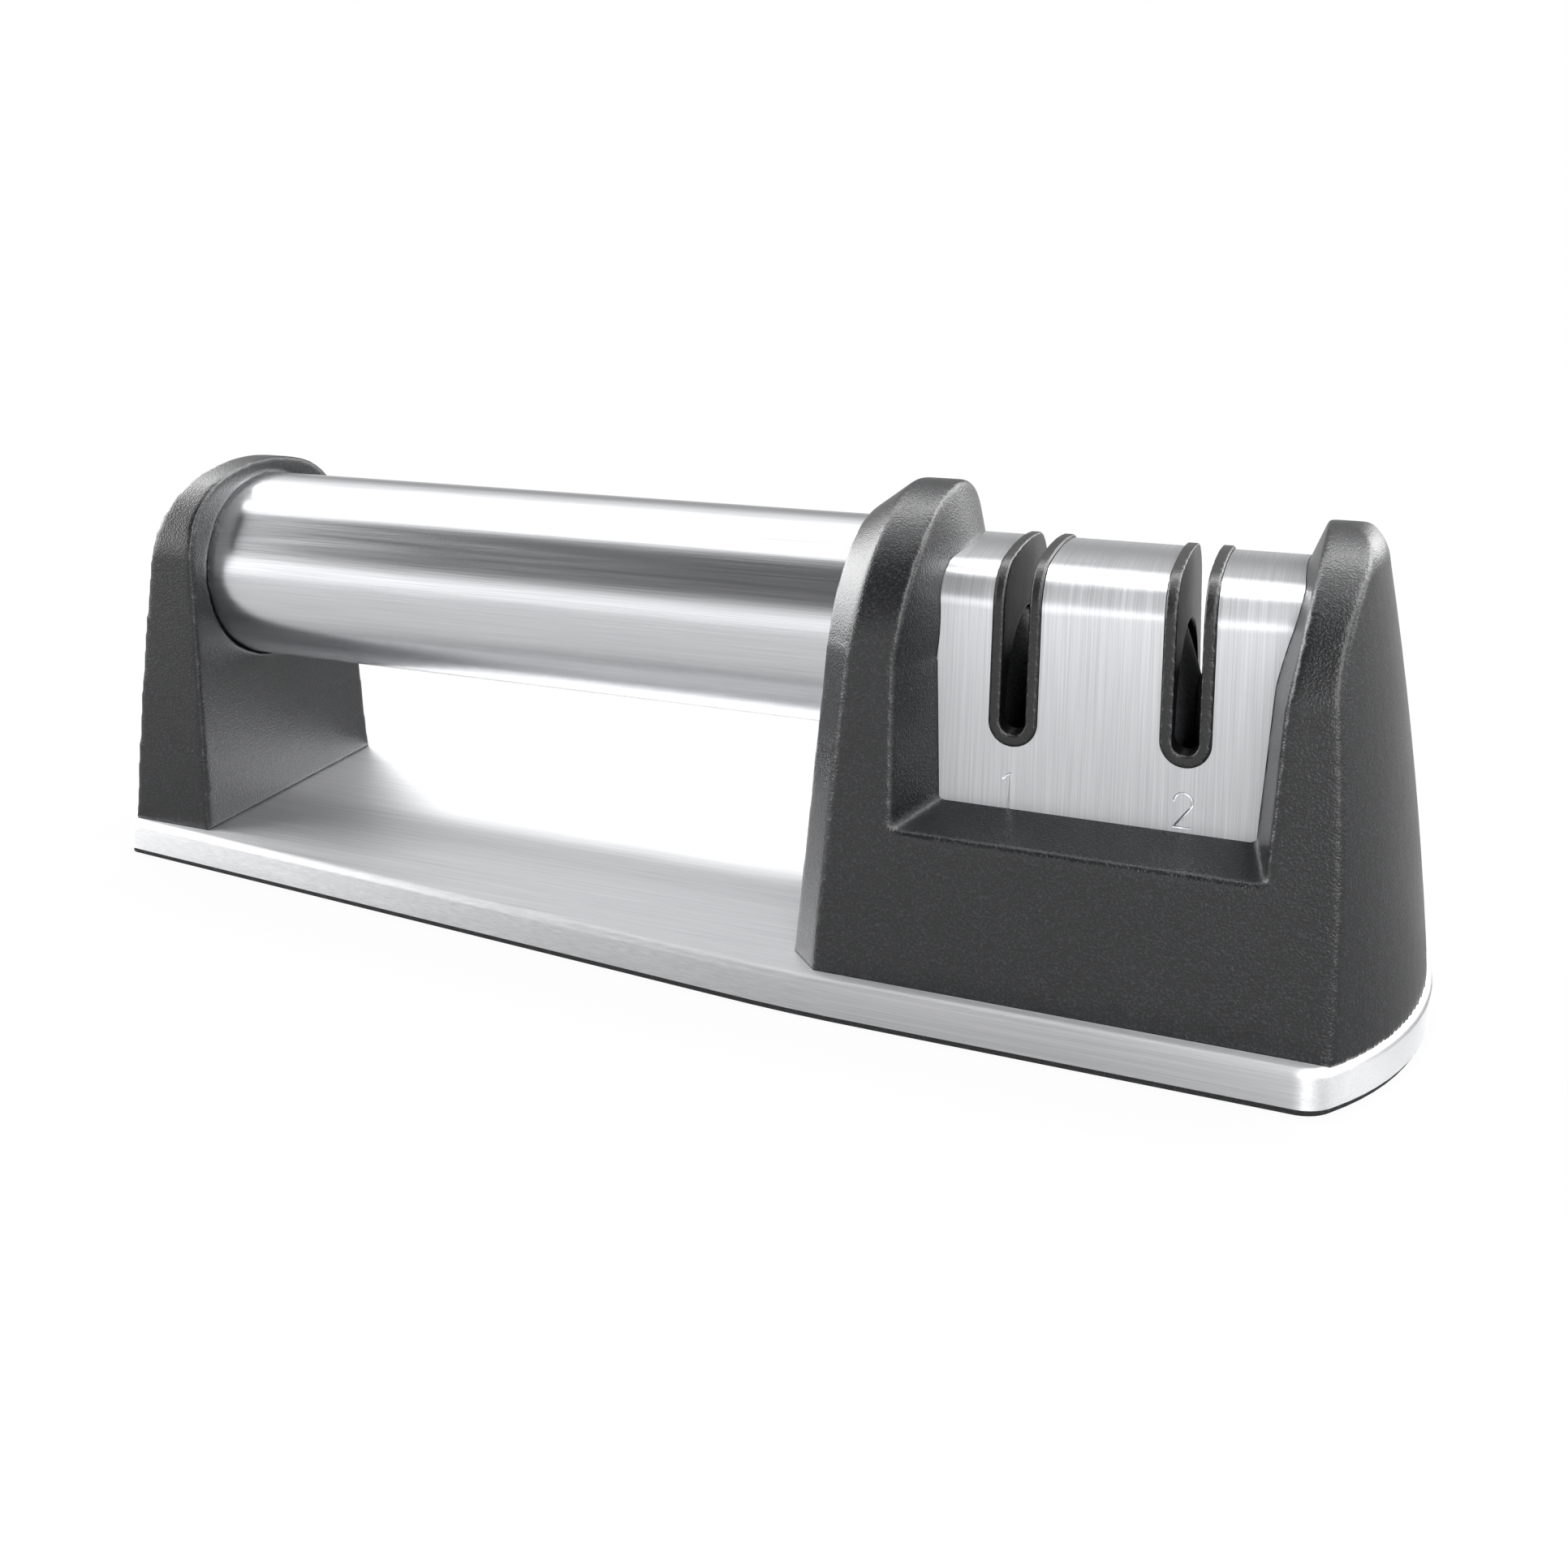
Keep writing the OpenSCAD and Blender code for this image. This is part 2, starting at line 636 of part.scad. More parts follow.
// Everything on the slots' side of the end recess wall, moved towards them by d
module end_wall(d) {
    inside = wall_arch[0][1];
    share = end_flare_share;
    x = cover_end_x - d;
    lean_at(cover_end_x, cover_end_deg)
        wall_sweep(wall_arch, flank_z, cover_end_x, flank_z, end_wall_deg, wall_lap_deg, wall_back)
            polygon([[-inside, x - inside * share], [head_half_w, x + head_half_w * share],
                     [head_half_w, -far], [-inside, -far]]);
}

// Space between the fins, outside the saddle
module recess() {
    difference() {
        along_x(head_x, front_x) ledge_2d();
        along_x(head_x - over, front_x + over) cover_2d(cover_t, cover_low - over);
        difference() {
            along_x(head_x - over, cover_x) square([2 * far, 2 * far], center = true);
            rear_wall(0);
        }
        difference() {
            along_x(cover_x, front_x + over) square([2 * far, 2 * far], center = true);
            end_wall(0);
        }
    }
}

// Room above the two sloping ledges
module ledge_2d() {
    edge = head_half_w + over;
    drop = (edge - ledge_y) * tan(ledge_deg);
    polygon([[-edge, cover_low - drop], [-ledge_y, cover_low], [ledge_y, cover_low],
             [edge, cover_low - drop], [edge, rear_crown + over], [-edge, rear_crown + over]]);
}

module head_hollow() {
    spread = head_half_w - ledge_y;
    fin_x = rear_knee_x - spread * rear_flare_share - head_wall;
    end_x = end_knee_x + (end_crown - flank_z) * tan(cover_end_deg + end_wall_deg)
            + spread * end_flare_share + head_wall;
    floor_z = cover_low - (head_half_w - ledge_y) * tan(ledge_deg) - head_wall;
    rear_x0 = tube_end_x + head_wall;
    along_x(rear_x0, fin_x) arch_2d(rear_arcs, 2 * head_wall, -over);
    along_x(rear_x0, end_x + over) intersection() {
        arch_2d(end_arcs, head_wall, -over);
        translate([-head_half_w, -over]) square([2 * head_half_w, floor_z + over]);
    }
    along_x(rear_x0, fine_x + axle_half + frame_gap) cover_2d(hollow_in, -over);
    intersection() {
        along_x(end_x, front_x) arch_2d(end_arcs, head_wall, -over);
        head_end_limit(head_wall, -2 * over);
    }
}

// Cheeks that hang from the saddle and close over the bushes
module saddle_cheeks() {
    for (x = [coarse_x, fine_x], s = [-1, 1]) {
        x0 = s > 0 ? x + cheek_x : x - cheek_x - cheek_t;
        difference() {
            along_x(x0, x0 + cheek_t) intersection() {
                cover_2d(hollow_in - saddle_wall / 2, 0);
                translate([-head_half_w, wheel_axis + seat_split]) square([2 * head_half_w, cover_crown]);
            }
            translate([x0 - over, 0, wheel_axis]) rotate([0, 90, 0])
                cylinder(d = bush_d, h = cheek_t + 2 * over);
        }
    }
}

module head_housing() {
    color(black) above_tray() difference() {
        union() {
            difference() {
                head_outside();
                head_hollow();
                recess();
                slot_cut(coarse_x, slot_w, slot_low);
                slot_cut(fine_x, slot_w, slot_low);
            }
            saddle_cheeks();
            intersection() {
                along_x(head_x, front_x) arch_2d(end_arcs, head_wall / 2, 0);
                union() {
                    screw_bosses(housing_screws_at);
                    for (p = housing_screws_at)
                        translate([p[0] - head_wall / 2, p[1] > 0 ? p[1] : -head_half_w, 0])
                        cube([head_wall, head_half_w - abs(p[1]), boss_h]);
                }
            }
            spigot(tube_end_x - spigot_len, tube_end_x + head_wall / 2);
        }
        difference() {
            tube_seat(head_x - over, tube_end_x);
            spigot(head_x - 2 * over, tube_end_x + over);
        }
        screw_holes(housing_screws_at, screw_pilot_d, -over, boss_h - head_wall);
    }
}

module steel_cover() {
    color(steel) above_tray() difference() {
        intersection() {
            along_x(head_x, front_x) difference() {
                cover_2d(0, cover_low);
                cover_2d(cover_t, cover_low - over);
            }
            union() {
                along_x(cover_x, front_x) square([2 * far, 2 * far], center = true);
                rear_wall(cover_gap);
            }
            union() {
                along_x(head_x, cover_x) square([2 * far, 2 * far], center = true);
                end_wall(cover_gap);
            }
        }
        slot_cut(coarse_x, slot_w, slot_low);
        slot_cut(fine_x, slot_w, slot_low);
    }
}

// Moulded lining of a slot: two arched walls that follow the wheels' rims, joined at their lower ends
module slot_liner(x) {
    color(black) above_tray() difference() {
        intersection() {
            along_x(x - slot_w, x + slot_w) difference() {
                cover_2d(-liner_proud, slot_low);
                translate([0, wheel_axis]) circle(d = wheel_d + 2 * liner_wheel_gap);
            }
            slot_cut(x, liner_w, slot_low + liner_gap);
        }
        slot_cut(x, blade_gap, slot_low + (slot_w - blade_gap) / 2);
    }
}

module coarse_slot_liner() { slot_liner(coarse_x); }
module fine_slot_liner() { slot_liner(fine_x); }

// Moulded frame below the wheels: floor, four cheeks and four legs
module wheel_frame() {
    color("#4a4b4f") above_tray() difference() {
        union() {
            translate([cover_x - frame_half_x, -frame_half_y, frame_floor - frame_floor_t])
                cube([2 * frame_half_x, 2 * frame_half_y, frame_floor_t]);
            for (p = frame_screws_at) translate([p[0], p[1], 0]) cylinder(d = boss_d, h = frame_floor);
            for (x = [coarse_x, fine_x], s = [-1, 1]) {
                x0 = s > 0 ? x + cheek_x : x - cheek_x - cheek_t;
                along_x(x0, x0 + cheek_t) polygon([
                    [-cheek_foot, frame_floor - seat_split], [cheek_foot, frame_floor - seat_split],
                    [cheek_tip, wheel_axis - seat_split], [-cheek_tip, wheel_axis - seat_split]]);
            }
        }
        for (x = [coarse_x, fine_x]) translate([x - axle_half - over, 0, wheel_axis]) rotate([0, 90, 0])
            cylinder(d = bush_d, h = 2 * (axle_half + over));
        screw_holes(frame_screws_at, screw_pilot_d, -over, frame_floor - frame_floor_t / 2);
    }
}

// Turns a profile of radius against X about a wheel axis at x
module on_axis(x) {
    above_tray() translate([x, 0, wheel_axis]) rotate([0, 90, 0]) children();
}

module axle(x) {
    color("#b9bbc0") on_axis(x) translate([0, 0, -axle_half]) cylinder(d = axle_d, h = 2 * axle_half);
}

// One wheel of a pair: its cone faces the middle of the slot
module wheel(x, s, waist_r, deg) {
    rim_r = wheel_d / 2;
    cone_t = (rim_r - waist_r) * tan(deg);
    inner = wheel_split / 2;
    outer = inner + wheel_t;
    on_axis(x) scale_side(s) rotate_extrude() polygon([
        [axle_d / 2, inner], [waist_r, inner], [rim_r, inner + cone_t],
        [rim_r, outer], [axle_d / 2, outer]]);
}

module scale_side(s) {
    if (s < 0) mirror([0, 0, 1]) children();
    else children();
}

// Pair of flanged bushes at both ends of an axle
module bushes(x) {
    color("#b08d4a") for (s = [-1, 1]) on_axis(x) scale_side(s) rotate_extrude() polygon([
        [axle_d / 2 + axle_run, flange_x], [bush_flange_d / 2, flange_x], [bush_flange_d / 2, cheek_x],
        [bush_d / 2, cheek_x], [bush_d / 2, axle_half], [axle_d / 2 + axle_run, axle_half]]);
}

module coarse_axle() { axle(coarse_x); }
module fine_axle() { axle(fine_x); }
module coarse_wheel_rear() { color("#8f9196") wheel(coarse_x, -1, coarse_waist_r, coarse_deg); }
module coarse_wheel_end() { color("#8f9196") wheel(coarse_x, 1, coarse_waist_r, coarse_deg); }
module fine_wheel_rear() { color("#e9e7e0") wheel(fine_x, -1, fine_waist_r, fine_deg); }
module fine_wheel_end() { color("#e9e7e0") wheel(fine_x, 1, fine_waist_r, fine_deg); }
module coarse_bushes() { bushes(coarse_x); }
module fine_bushes() { bushes(fine_x); }

// Self-tapping screws, heads down in the core's counterbores
module screws(places) {
    color("#a5a7ab") for (p = places) translate([p[0], p[1], screw_seat_z]) {
        cylinder(d = screw_pilot_d, h = screw_len);
        translate([0, 0, -screw_head_t]) cylinder(d = screw_head_d, h = screw_head_t);
    }
}

module post_screws() { screws(post_screws_at); }
module housing_screws() { screws(housing_screws_at); }
module frame_screws() { screws(frame_screws_at); }

base_tray();
base_core();
rubber_sole();
rear_post();
handle_tube();
head_housing();
steel_cover();
coarse_slot_liner();
fine_slot_liner();
wheel_frame();
coarse_axle();
coarse_wheel_rear();
coarse_wheel_end();
coarse_bushes();
fine_axle();
fine_wheel_rear();
fine_wheel_end();
fine_bushes();
post_screws();
housing_screws();
frame_screws();
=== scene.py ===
# %% [markdown]
# # A two-stage pull-through knife sharpener
#
# The real thing is a kitchen tool. A hand holds the brushed steel tube, and the other hand
# draws a knife through one of two slots in the head. Inside, pairs of abrasive discs touch
# the blade. The black parts are moulded ABS, the steel parts are thin brushed sheet and tube.
#
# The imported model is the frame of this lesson: every piece below sits where the solids say,
# in metres, with X along the handle, Y away from the camera's side and Z up.

# %% Load the frame
import json
import math

import bpy
from mathutils import Matrix, Vector
from mathutils.bvhtree import BVHTree

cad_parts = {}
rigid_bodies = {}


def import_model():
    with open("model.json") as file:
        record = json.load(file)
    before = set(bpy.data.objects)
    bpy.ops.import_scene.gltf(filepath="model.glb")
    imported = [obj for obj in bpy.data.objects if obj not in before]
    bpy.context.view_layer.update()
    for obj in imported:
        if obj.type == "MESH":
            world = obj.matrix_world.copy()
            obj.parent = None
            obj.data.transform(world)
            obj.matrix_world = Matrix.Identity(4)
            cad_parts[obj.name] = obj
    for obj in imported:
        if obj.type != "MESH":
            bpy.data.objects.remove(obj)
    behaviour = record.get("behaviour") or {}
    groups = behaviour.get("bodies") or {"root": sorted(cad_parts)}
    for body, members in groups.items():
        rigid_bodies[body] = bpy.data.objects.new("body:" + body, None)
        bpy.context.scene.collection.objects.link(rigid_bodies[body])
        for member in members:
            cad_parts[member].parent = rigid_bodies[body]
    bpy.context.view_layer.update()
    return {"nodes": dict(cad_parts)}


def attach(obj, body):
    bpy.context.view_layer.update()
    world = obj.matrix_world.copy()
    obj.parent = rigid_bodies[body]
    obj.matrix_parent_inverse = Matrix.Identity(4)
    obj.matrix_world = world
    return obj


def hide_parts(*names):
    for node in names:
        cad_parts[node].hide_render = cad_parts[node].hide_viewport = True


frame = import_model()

NODES = frame["nodes"]
MM = 0.001

# %% [markdown]
# ## The camera
#
# The photograph was taken from the front and a little above, with a long lens that looks
# slightly to the left. Its place was worked out from the straight edges of the base, the
# round tube and the upright lines of the head. A camera can be described by three angles:
# how far it turns, how far it dips and how far it rolls. The lens shift puts the horizon high
# in the square picture, as it is in the photograph, without tilting the upright lines.

# %% Set the camera
EYE = Vector((0.09467, -0.21037, 0.10973))
TURN, DIP, ROLL = 0.372, 0.144, -0.007
PICTURE = 1932
FOCUS_PX = 1849.881
AXIS_PX = (984.305, 523.963)
SENSOR = 36.0

ahead = Vector((-math.sin(TURN) * math.cos(DIP), math.cos(TURN) * math.cos(DIP), -math.sin(DIP)))
level = ahead.cross(Vector((0, 0, 1))).normalized()
above = level.cross(ahead)
right = math.cos(ROLL) * level + math.sin(ROLL) * above
upward = -math.sin(ROLL) * level + math.cos(ROLL) * above

bpy.ops.object.select_all(action="DESELECT")
bpy.ops.object.camera_add()
camera = bpy.context.active_object
camera.name = "bench_camera"
camera.matrix_world = Matrix((
    (right.x, upward.x, -ahead.x, EYE.x),
    (right.y, upward.y, -ahead.y, EYE.y),
    (right.z, upward.z, -ahead.z, EYE.z),
    (0, 0, 0, 1)))
camera.data.sensor_width = SENSOR
camera.data.lens = SENSOR * FOCUS_PX / PICTURE
camera.data.shift_x = (PICTURE / 2 - AXIS_PX[0]) / PICTURE
camera.data.shift_y = (AXIS_PX[1] - PICTURE / 2) / PICTURE
camera.data.clip_start = 0.01
bpy.context.scene.camera = camera
bpy.context.scene.view_settings.view_transform = "Standard"
print("lens", round(camera.data.lens, 2), "mm, shift", round(camera.data.shift_x, 4),
      round(camera.data.shift_y, 4))

# %% [markdown]
# ## Two small helpers for node trees
#
# Colours are easiest to read as the hex numbers a picture editor shows. Blender mixes light
# with linear numbers, so one function turns the first into the second. A second function adds
# one node, sets its values and links its sockets. Everything below is built with these two.

# %% Helpers for colours and nodes
def colour(hexa):
    """Linear colour of an sRGB hex string."""
    parts = [int(hexa[i:i + 2], 16) / 255 for i in (1, 3, 5)]
    return [p / 12.92 if p <= 0.04045 else ((p + 0.055) / 1.055) ** 2.4 for p in parts] + [1.0]


def put(tree, kind, sockets=None, **settings):
    """Adds a node. sockets gives each input by name or number a value or another output."""
    made = tree.nodes.new("ShaderNode" + kind)
    for name, value in settings.items():
        setattr(made, name, value)
    for name, value in (sockets or {}).items():
        if isinstance(value, bpy.types.NodeSocket):
            tree.links.new(value, made.inputs[name])
        else:
            made.inputs[name].default_value = value
    return made


def steps(ramp, stops):
    """Sets a colour ramp's stops from pairs of place and grey level or colour."""
    marks = ramp.color_ramp.elements
    while len(marks) > 1:
        marks.remove(marks[-1])
    for i, (place, tone) in enumerate(stops):
        mark = marks[0] if i == 0 else marks.new(place)
        mark.position = place
        mark.color = tone if isinstance(tone, list) else (tone, tone, tone, 1)
    return ramp


print("white is", colour("#ffffff"))

# %% [markdown]
# ## The studio
#
# Polished metal has hardly any colour of its own. What it shows is the studio. The tube and
# the saddle show two broad bright panels overhead, a dark gap between them and the backdrop on
# the camera's side, and a bright strip near the horizon. Those long panels run along X, so
# their light depends only on the angle round the X axis, and a colour ramp on that angle
# draws them all. Black plastic reflects about a twentieth of what reaches it. It shows only
# the panels that are far brighter than white, which is why their cores go up to 11.
#
# Two more panels stand at the ends, one far to the left and one to the right and behind. They
# draw the upright edges of the head. Their light depends on the X part of the direction. The
# camera itself sees the plain white backdrop.

# %% Light from panels round the object
STUDIO = [  # angle round X in degrees, 0 towards the camera's side, 90 overhead, and its level
    (-180, 0.5), (-90, 0.5), (-12, 0.55), (-3, 1.05), (8, 1.15), (13, 0.95), (18, 0.5), (24, 0.18),
    (30, 0.12), (55, 0.1), (68, 0.06), (76, 0.2), (81, 0.8), (84, 3.0), (89, 3.0), (93, 0.9),
    (110, 0.8), (113, 11.0), (119, 11.0), (123, 1.2), (135, 1.0), (141, 0.85), (147, 0.7),
    (154, 0.5), (160, 0.35), (166, 0.25), (172, 0.35), (180, 0.6)]
ENDS = [  # X part of the direction and the level of the two end panels
    (-1, 2.0), (-0.96, 6.0), (-0.8, 6.0), (-0.7, 0.0), (0.2, 0.0), (0.3, 5.5), (0.44, 5.5),
    (0.6, 1.0), (1, 1.0)]
BRIGHTEST = 11.0  # the level of the brightest core, which both ramps call 1
END_FOOT, END_FULL = -0.05, 0.1  # Z of the direction where the end panels start and are full

world = bpy.data.worlds.new("studio")
bpy.context.scene.world = world
world.use_nodes = True
sky = world.node_tree
sky.nodes.clear()
towards = put(sky, "SeparateXYZ", {0: put(sky, "TexCoord").outputs["Generated"]})
front = put(sky, "Math", {0: towards.outputs["Y"], 1: -1.0}, operation="MULTIPLY")
angle = put(sky, "Math", {0: towards.outputs["Z"], 1: front.outputs[0]}, operation="ARCTAN2")
place = put(sky, "MapRange", {0: angle.outputs[0], 1: -math.pi, 2: math.pi})
panels = steps(put(sky, "ValToRGB", {0: place.outputs[0]}),
               [((a + 180) / 360, level / BRIGHTEST) for a, level in STUDIO])
along = put(sky, "MapRange", {0: towards.outputs["X"], 1: -1.0, 2: 1.0})
ends = steps(put(sky, "ValToRGB", {0: along.outputs[0]}),
             [((x + 1) / 2, level / BRIGHTEST) for x, level in ENDS])
risen = put(sky, "MapRange", {0: towards.outputs["Z"], 1: END_FOOT, 2: END_FULL})
stands = put(sky, "Mix", {"Factor": risen.outputs[0], 6: colour("#000000"), 7: ends.outputs[0]},
             data_type="RGBA")
total = put(sky, "Mix", {"Factor": 1.0, 6: panels.outputs[0], 7: stands.outputs[2]},
            data_type="RGBA", blend_type="ADD")
ray = put(sky, "LightPath")
seen = put(sky, "Math", {0: ray.outputs["Is Camera Ray"], 1: ray.outputs["Is Transmission Ray"]},
           operation="MAXIMUM")
lit = put(sky, "Background", {"Color": total.outputs[2], "Strength": BRIGHTEST})
plain = put(sky, "Background", {"Color": colour("#ffffff"), "Strength": 1.0})
both = put(sky, "MixShader", {0: seen.outputs[0], 1: lit.outputs[0], 2: plain.outputs[0]})
put(sky, "OutputWorld", {"Surface": both.outputs[0]})
mean = sum((b[0] - a[0]) * (a[1] + b[1]) / 2 for a, b in zip(STUDIO, STUDIO[1:])) / 360
print(len(STUDIO), "levels of light round the X axis, mean", round(mean, 2))

# %% [markdown]
# ## The floor
#
# A plain table. The camera sees it as white with only a breath of shadow under the object,
# because most of what it sees is a plain white glow. The metal and the plastic see the middle
# grey that it is.

# %% Lay the floor
FLOOR_REACH = 0.9
FLOOR_DROP = 0.00005  # keeps the table just under the sole
GLOW_SHARE = 0.9
GLOW_LEVEL = 1.05
bpy.ops.mesh.primitive_circle_add(vertices=96, radius=FLOOR_REACH, fill_type="NGON",
                                  location=(0, 0, -FLOOR_DROP))
floor = bpy.context.active_object
floor.name = "pale_table"
pale = bpy.data.materials.new("pale_table_top")
pale.use_nodes = True
tree = pale.node_tree
tree.nodes.clear()
paint = put(tree, "BsdfDiffuse", {"Color": colour("#848484")})
ray = put(tree, "LightPath")
seen = put(tree, "Math", {0: ray.outputs["Is Camera Ray"], 1: ray.outputs["Is Transmission Ray"]},
           operation="MAXIMUM")
share = put(tree, "Math", {0: seen.outputs[0], 1: GLOW_SHARE}, operation="MULTIPLY")
white = put(tree, "Emission", {"Color": colour("#ffffff"), "Strength": GLOW_LEVEL})
both = put(tree, "MixShader", {0: share.outputs[0], 1: paint.outputs[0], 2: white.outputs[0]})
put(tree, "OutputMaterial", {"Surface": both.outputs[0]})
pale.cycles.emission_sampling = "NONE"
floor.data.materials.append(pale)
print("the table reaches", FLOOR_REACH, "m from the middle")

# %% [markdown]
# ## Brushed stainless steel
#
# The real sheet and tube are 18/10 stainless steel, drawn past an abrasive belt. The belt
# leaves fine parallel scratches. They blur every reflection across the grain and keep it
# sharp along the grain, and they break it into faint light and dark lines.
#
# The real scratches are about 0.02 mm wide, too fine for the picture, so they are drawn
# 0.14 mm wide and 20 mm long. A second, broader pattern stands for the uneven pressure of
# the belt. Scaling the Object coordinates long along the grain and short across it draws
# both from ordinary noise.

# %% Material: brushed stainless steel
def principled(name, **sockets):
    """A new material with one Principled shader, its output and the piece's own coordinates."""
    material = bpy.data.materials.new(name)
    material.use_nodes = True
    tree = material.node_tree
    tree.nodes.clear()
    shader = put(tree, "BsdfPrincipled", {n.replace("_", " "): v for n, v in sockets.items()})
    put(tree, "OutputMaterial", {"Surface": shader.outputs[0]})
    spot = put(tree, "TexCoord").outputs["Object"]
    return material, tree, shader, spot


def stretched(tree, spot, size_mm, detail=2.0):
    """Noise whose grains are size_mm long along X, Y and Z."""
    scaled = put(tree, "Mapping", {"Vector": spot, "Scale": [1 / (s * MM) for s in size_mm]})
    return put(tree, "TexNoise", {"Vector": scaled.outputs[0], "Scale": 1.0, "Detail": detail})


def spread(tree, value, low, high, start=0.3, end=0.7):
    """Maps a noise value to a range of numbers."""
    return put(tree, "MapRange", {0: value, 1: start, 2: end, 3: low, 4: high}).outputs[0]


BROAD_SHARE = 0.35  # how much the belt's pressure counts beside the scratches


def brushed_stainless(name, fine_mm, broad_mm, dark, light, rough, smear=0.0, turn=0.0):
    """smear is how one-sided the blur is. turn 0 blurs along X, a quarter blurs across X."""
    material, tree, shader, spot = principled(name, Metallic=1.0, Anisotropic=smear,
                                              Anisotropic_Rotation=turn)
    grain_way = put(tree, "CombineXYZ", {0: 1.0, 1: 0.0, 2: 0.0})
    tree.links.new(grain_way.outputs[0], shader.inputs["Tangent"])
    fine = stretched(tree, spot, fine_mm, 3.0).outputs[0]
    broad = stretched(tree, spot, broad_mm, 1.0).outputs[0]
    blend = put(tree, "Math", {0: fine, 1: broad, 2: BROAD_SHARE}, operation="MULTIPLY_ADD")
    tone = put(tree, "Mix", {"Factor": spread(tree, fine, 0, 1), 6: colour(dark), 7: colour(light)},
               data_type="RGBA")
    tree.links.new(tone.outputs[2], shader.inputs["Base Color"])
    tree.links.new(spread(tree, blend.outputs[0], rough[0], rough[1], 0.45, 0.9),
                   shader.inputs["Roughness"])
    bump = put(tree, "Bump", {"Strength": 0.15, "Distance": 0.01 * MM, "Height": fine})
    tree.links.new(bump.outputs[0], shader.inputs["Normal"])
    return material


tube_steel = brushed_stainless("brushed_stainless_tube", (20, 0.14, 0.14), (60, 1.1, 1.1),
                               "#dcdde0", "#eff0f2", (0.19, 0.26))
tray_steel = brushed_stainless("brushed_stainless_tray", (20, 0.14, 0.14), (60, 1.1, 1.1),
                               "#dfe0e2", "#f4f4f5", (0.44, 0.52), 0.8, 0.25)
saddle_steel = brushed_stainless("brushed_stainless_saddle", (0.14, 20, 20), (1.1, 60, 60),
                                 "#cfd0d3", "#e6e7e9", (0.3, 0.35), 0.8, 0.0)
print("three brushings of one steel")

# %% [markdown]
# ## Moulded ABS, rubber and the inner parts
#
# The head, the post and the slot frames are ABS plastic. The mould was spark-eroded, which
# leaves a fine even grain, so the surface is satin and twinkles in its highlights. The real
# grain is about 0.1 mm. It is drawn at 0.3 mm, so that it shows. The colour is a charcoal that
# is almost black, and only the grain and the light give it form.
#
# The sole is soft moulded rubber with pale specks of filler. The base core and the frame that
# carries the discs are glass-filled plastic: duller, with faint flow marks.

# %% Materials: plastics and rubber
PATCH_MM = 9  # size of the faint patches where the mould is a little smoother or rougher


def grained_plastic(name, grain_mm, dark, light, rough, relief_mm):
    """Satin plastic: fine bumps, pale specks on the highest of them, uneven gloss."""
    material, tree, shader, spot = principled(name, IOR=1.48, Specular_IOR_Level=0.75)
    grain = stretched(tree, spot, (grain_mm,) * 3, 2.0).outputs[0]
    patch = stretched(tree, spot, (PATCH_MM,) * 3, 2.0).outputs[0]
    tone = put(tree, "Mix", {"Factor": spread(tree, grain, 0, 1, 0.5, 0.75), 6: colour(dark),
                             7: colour(light)}, data_type="RGBA")
    tree.links.new(tone.outputs[2], shader.inputs["Base Color"])
    tree.links.new(spread(tree, patch, rough[0], rough[1]), shader.inputs["Roughness"])
    bump = put(tree, "Bump", {"Strength": 1.0, "Distance": relief_mm * MM, "Height": grain})
    tree.links.new(bump.outputs[0], shader.inputs["Normal"])
    return material


grained_abs = grained_plastic("spark_grained_abs", 0.3, "#08090b", "#2c2d32", (0.27, 0.32), 0.07)
# The slot frames are the same ABS as the head in darker colours: painted shade of the slots they
# line.
shaded_lip_abs = grained_plastic("spark_grained_abs_lips_painted_shade", 0.3, "#060607", "#1c1d20", (0.3, 0.36), 0.05)
inner_nylon = grained_plastic("glass_filled_nylon", 0.6, "#111112", "#1a1a1c", (0.5, 0.62), 0.02)
sole_rubber = grained_plastic("moulded_rubber", 0.35, "#111214", "#34353a", (0.6, 0.75), 0.03)
print("plastics and rubber ready")

# %% [markdown]
# ## The working metals and the ceramic
#
# The coarse discs are steel with a coat of diamond grit held in nickel, a grey that sparkles.
# The fine discs are pressed and fired ceramic: dark grey, matt and even. The axles are ground
# steel, the screws are zinc-plated, and the bushes are sintered bronze with open pores.

# %% Materials: discs, axles, screws and bushes
def gritty(name, grit_mm, dark, light, rough, relief_mm, metallic):
    """A surface of small cells, light in the middle of each and dark between them."""
    material, tree, shader, spot = principled(name, Metallic=metallic)
    scaled = put(tree, "Mapping", {"Vector": spot, "Scale": [1 / (grit_mm * MM)] * 3})
    cells = put(tree, "TexVoronoi", {"Vector": scaled.outputs[0], "Scale": 1.0})
    tone = put(tree, "Mix", {"Factor": spread(tree, cells.outputs["Distance"], 0, 1, 0.1, 0.7),
                             6: colour(light), 7: colour(dark)}, data_type="RGBA")
    tree.links.new(tone.outputs[2], shader.inputs["Base Color"])
    tree.links.new(spread(tree, cells.outputs["Distance"], rough[0], rough[1], 0.1, 0.7),
                   shader.inputs["Roughness"])
    bump = put(tree, "Bump", {"Strength": 0.8, "Distance": relief_mm * MM,
                              "Height": cells.outputs["Distance"]})
    tree.links.new(bump.outputs[0], shader.inputs["Normal"])
    return material


diamond_steel = gritty("diamond_coated_steel", 0.22, "#5c5d60", "#a9aaad", (0.3, 0.5), 0.03, 1.0)
fired_ceramic = gritty("fired_grey_ceramic", 0.3, "#3b3c3f", "#58595c", (0.5, 0.65), 0.01, 0.0)
bush_bronze = gritty("sintered_bronze", 0.35, "#7d5a34", "#b58a57", (0.35, 0.5), 0.015, 1.0)
zinc_steel = gritty("zinc_plated_steel", 0.8, "#b4b6ba", "#d3d5d8", (0.22, 0.32), 0.004, 1.0)
ground_steel = brushed_stainless("ground_axle_steel", (0.1, 8, 8), (0.8, 20, 20),
                                 "#c4c5c8", "#dfe0e2", (0.12, 0.2))
print("discs, axles, screws and bushes ready")

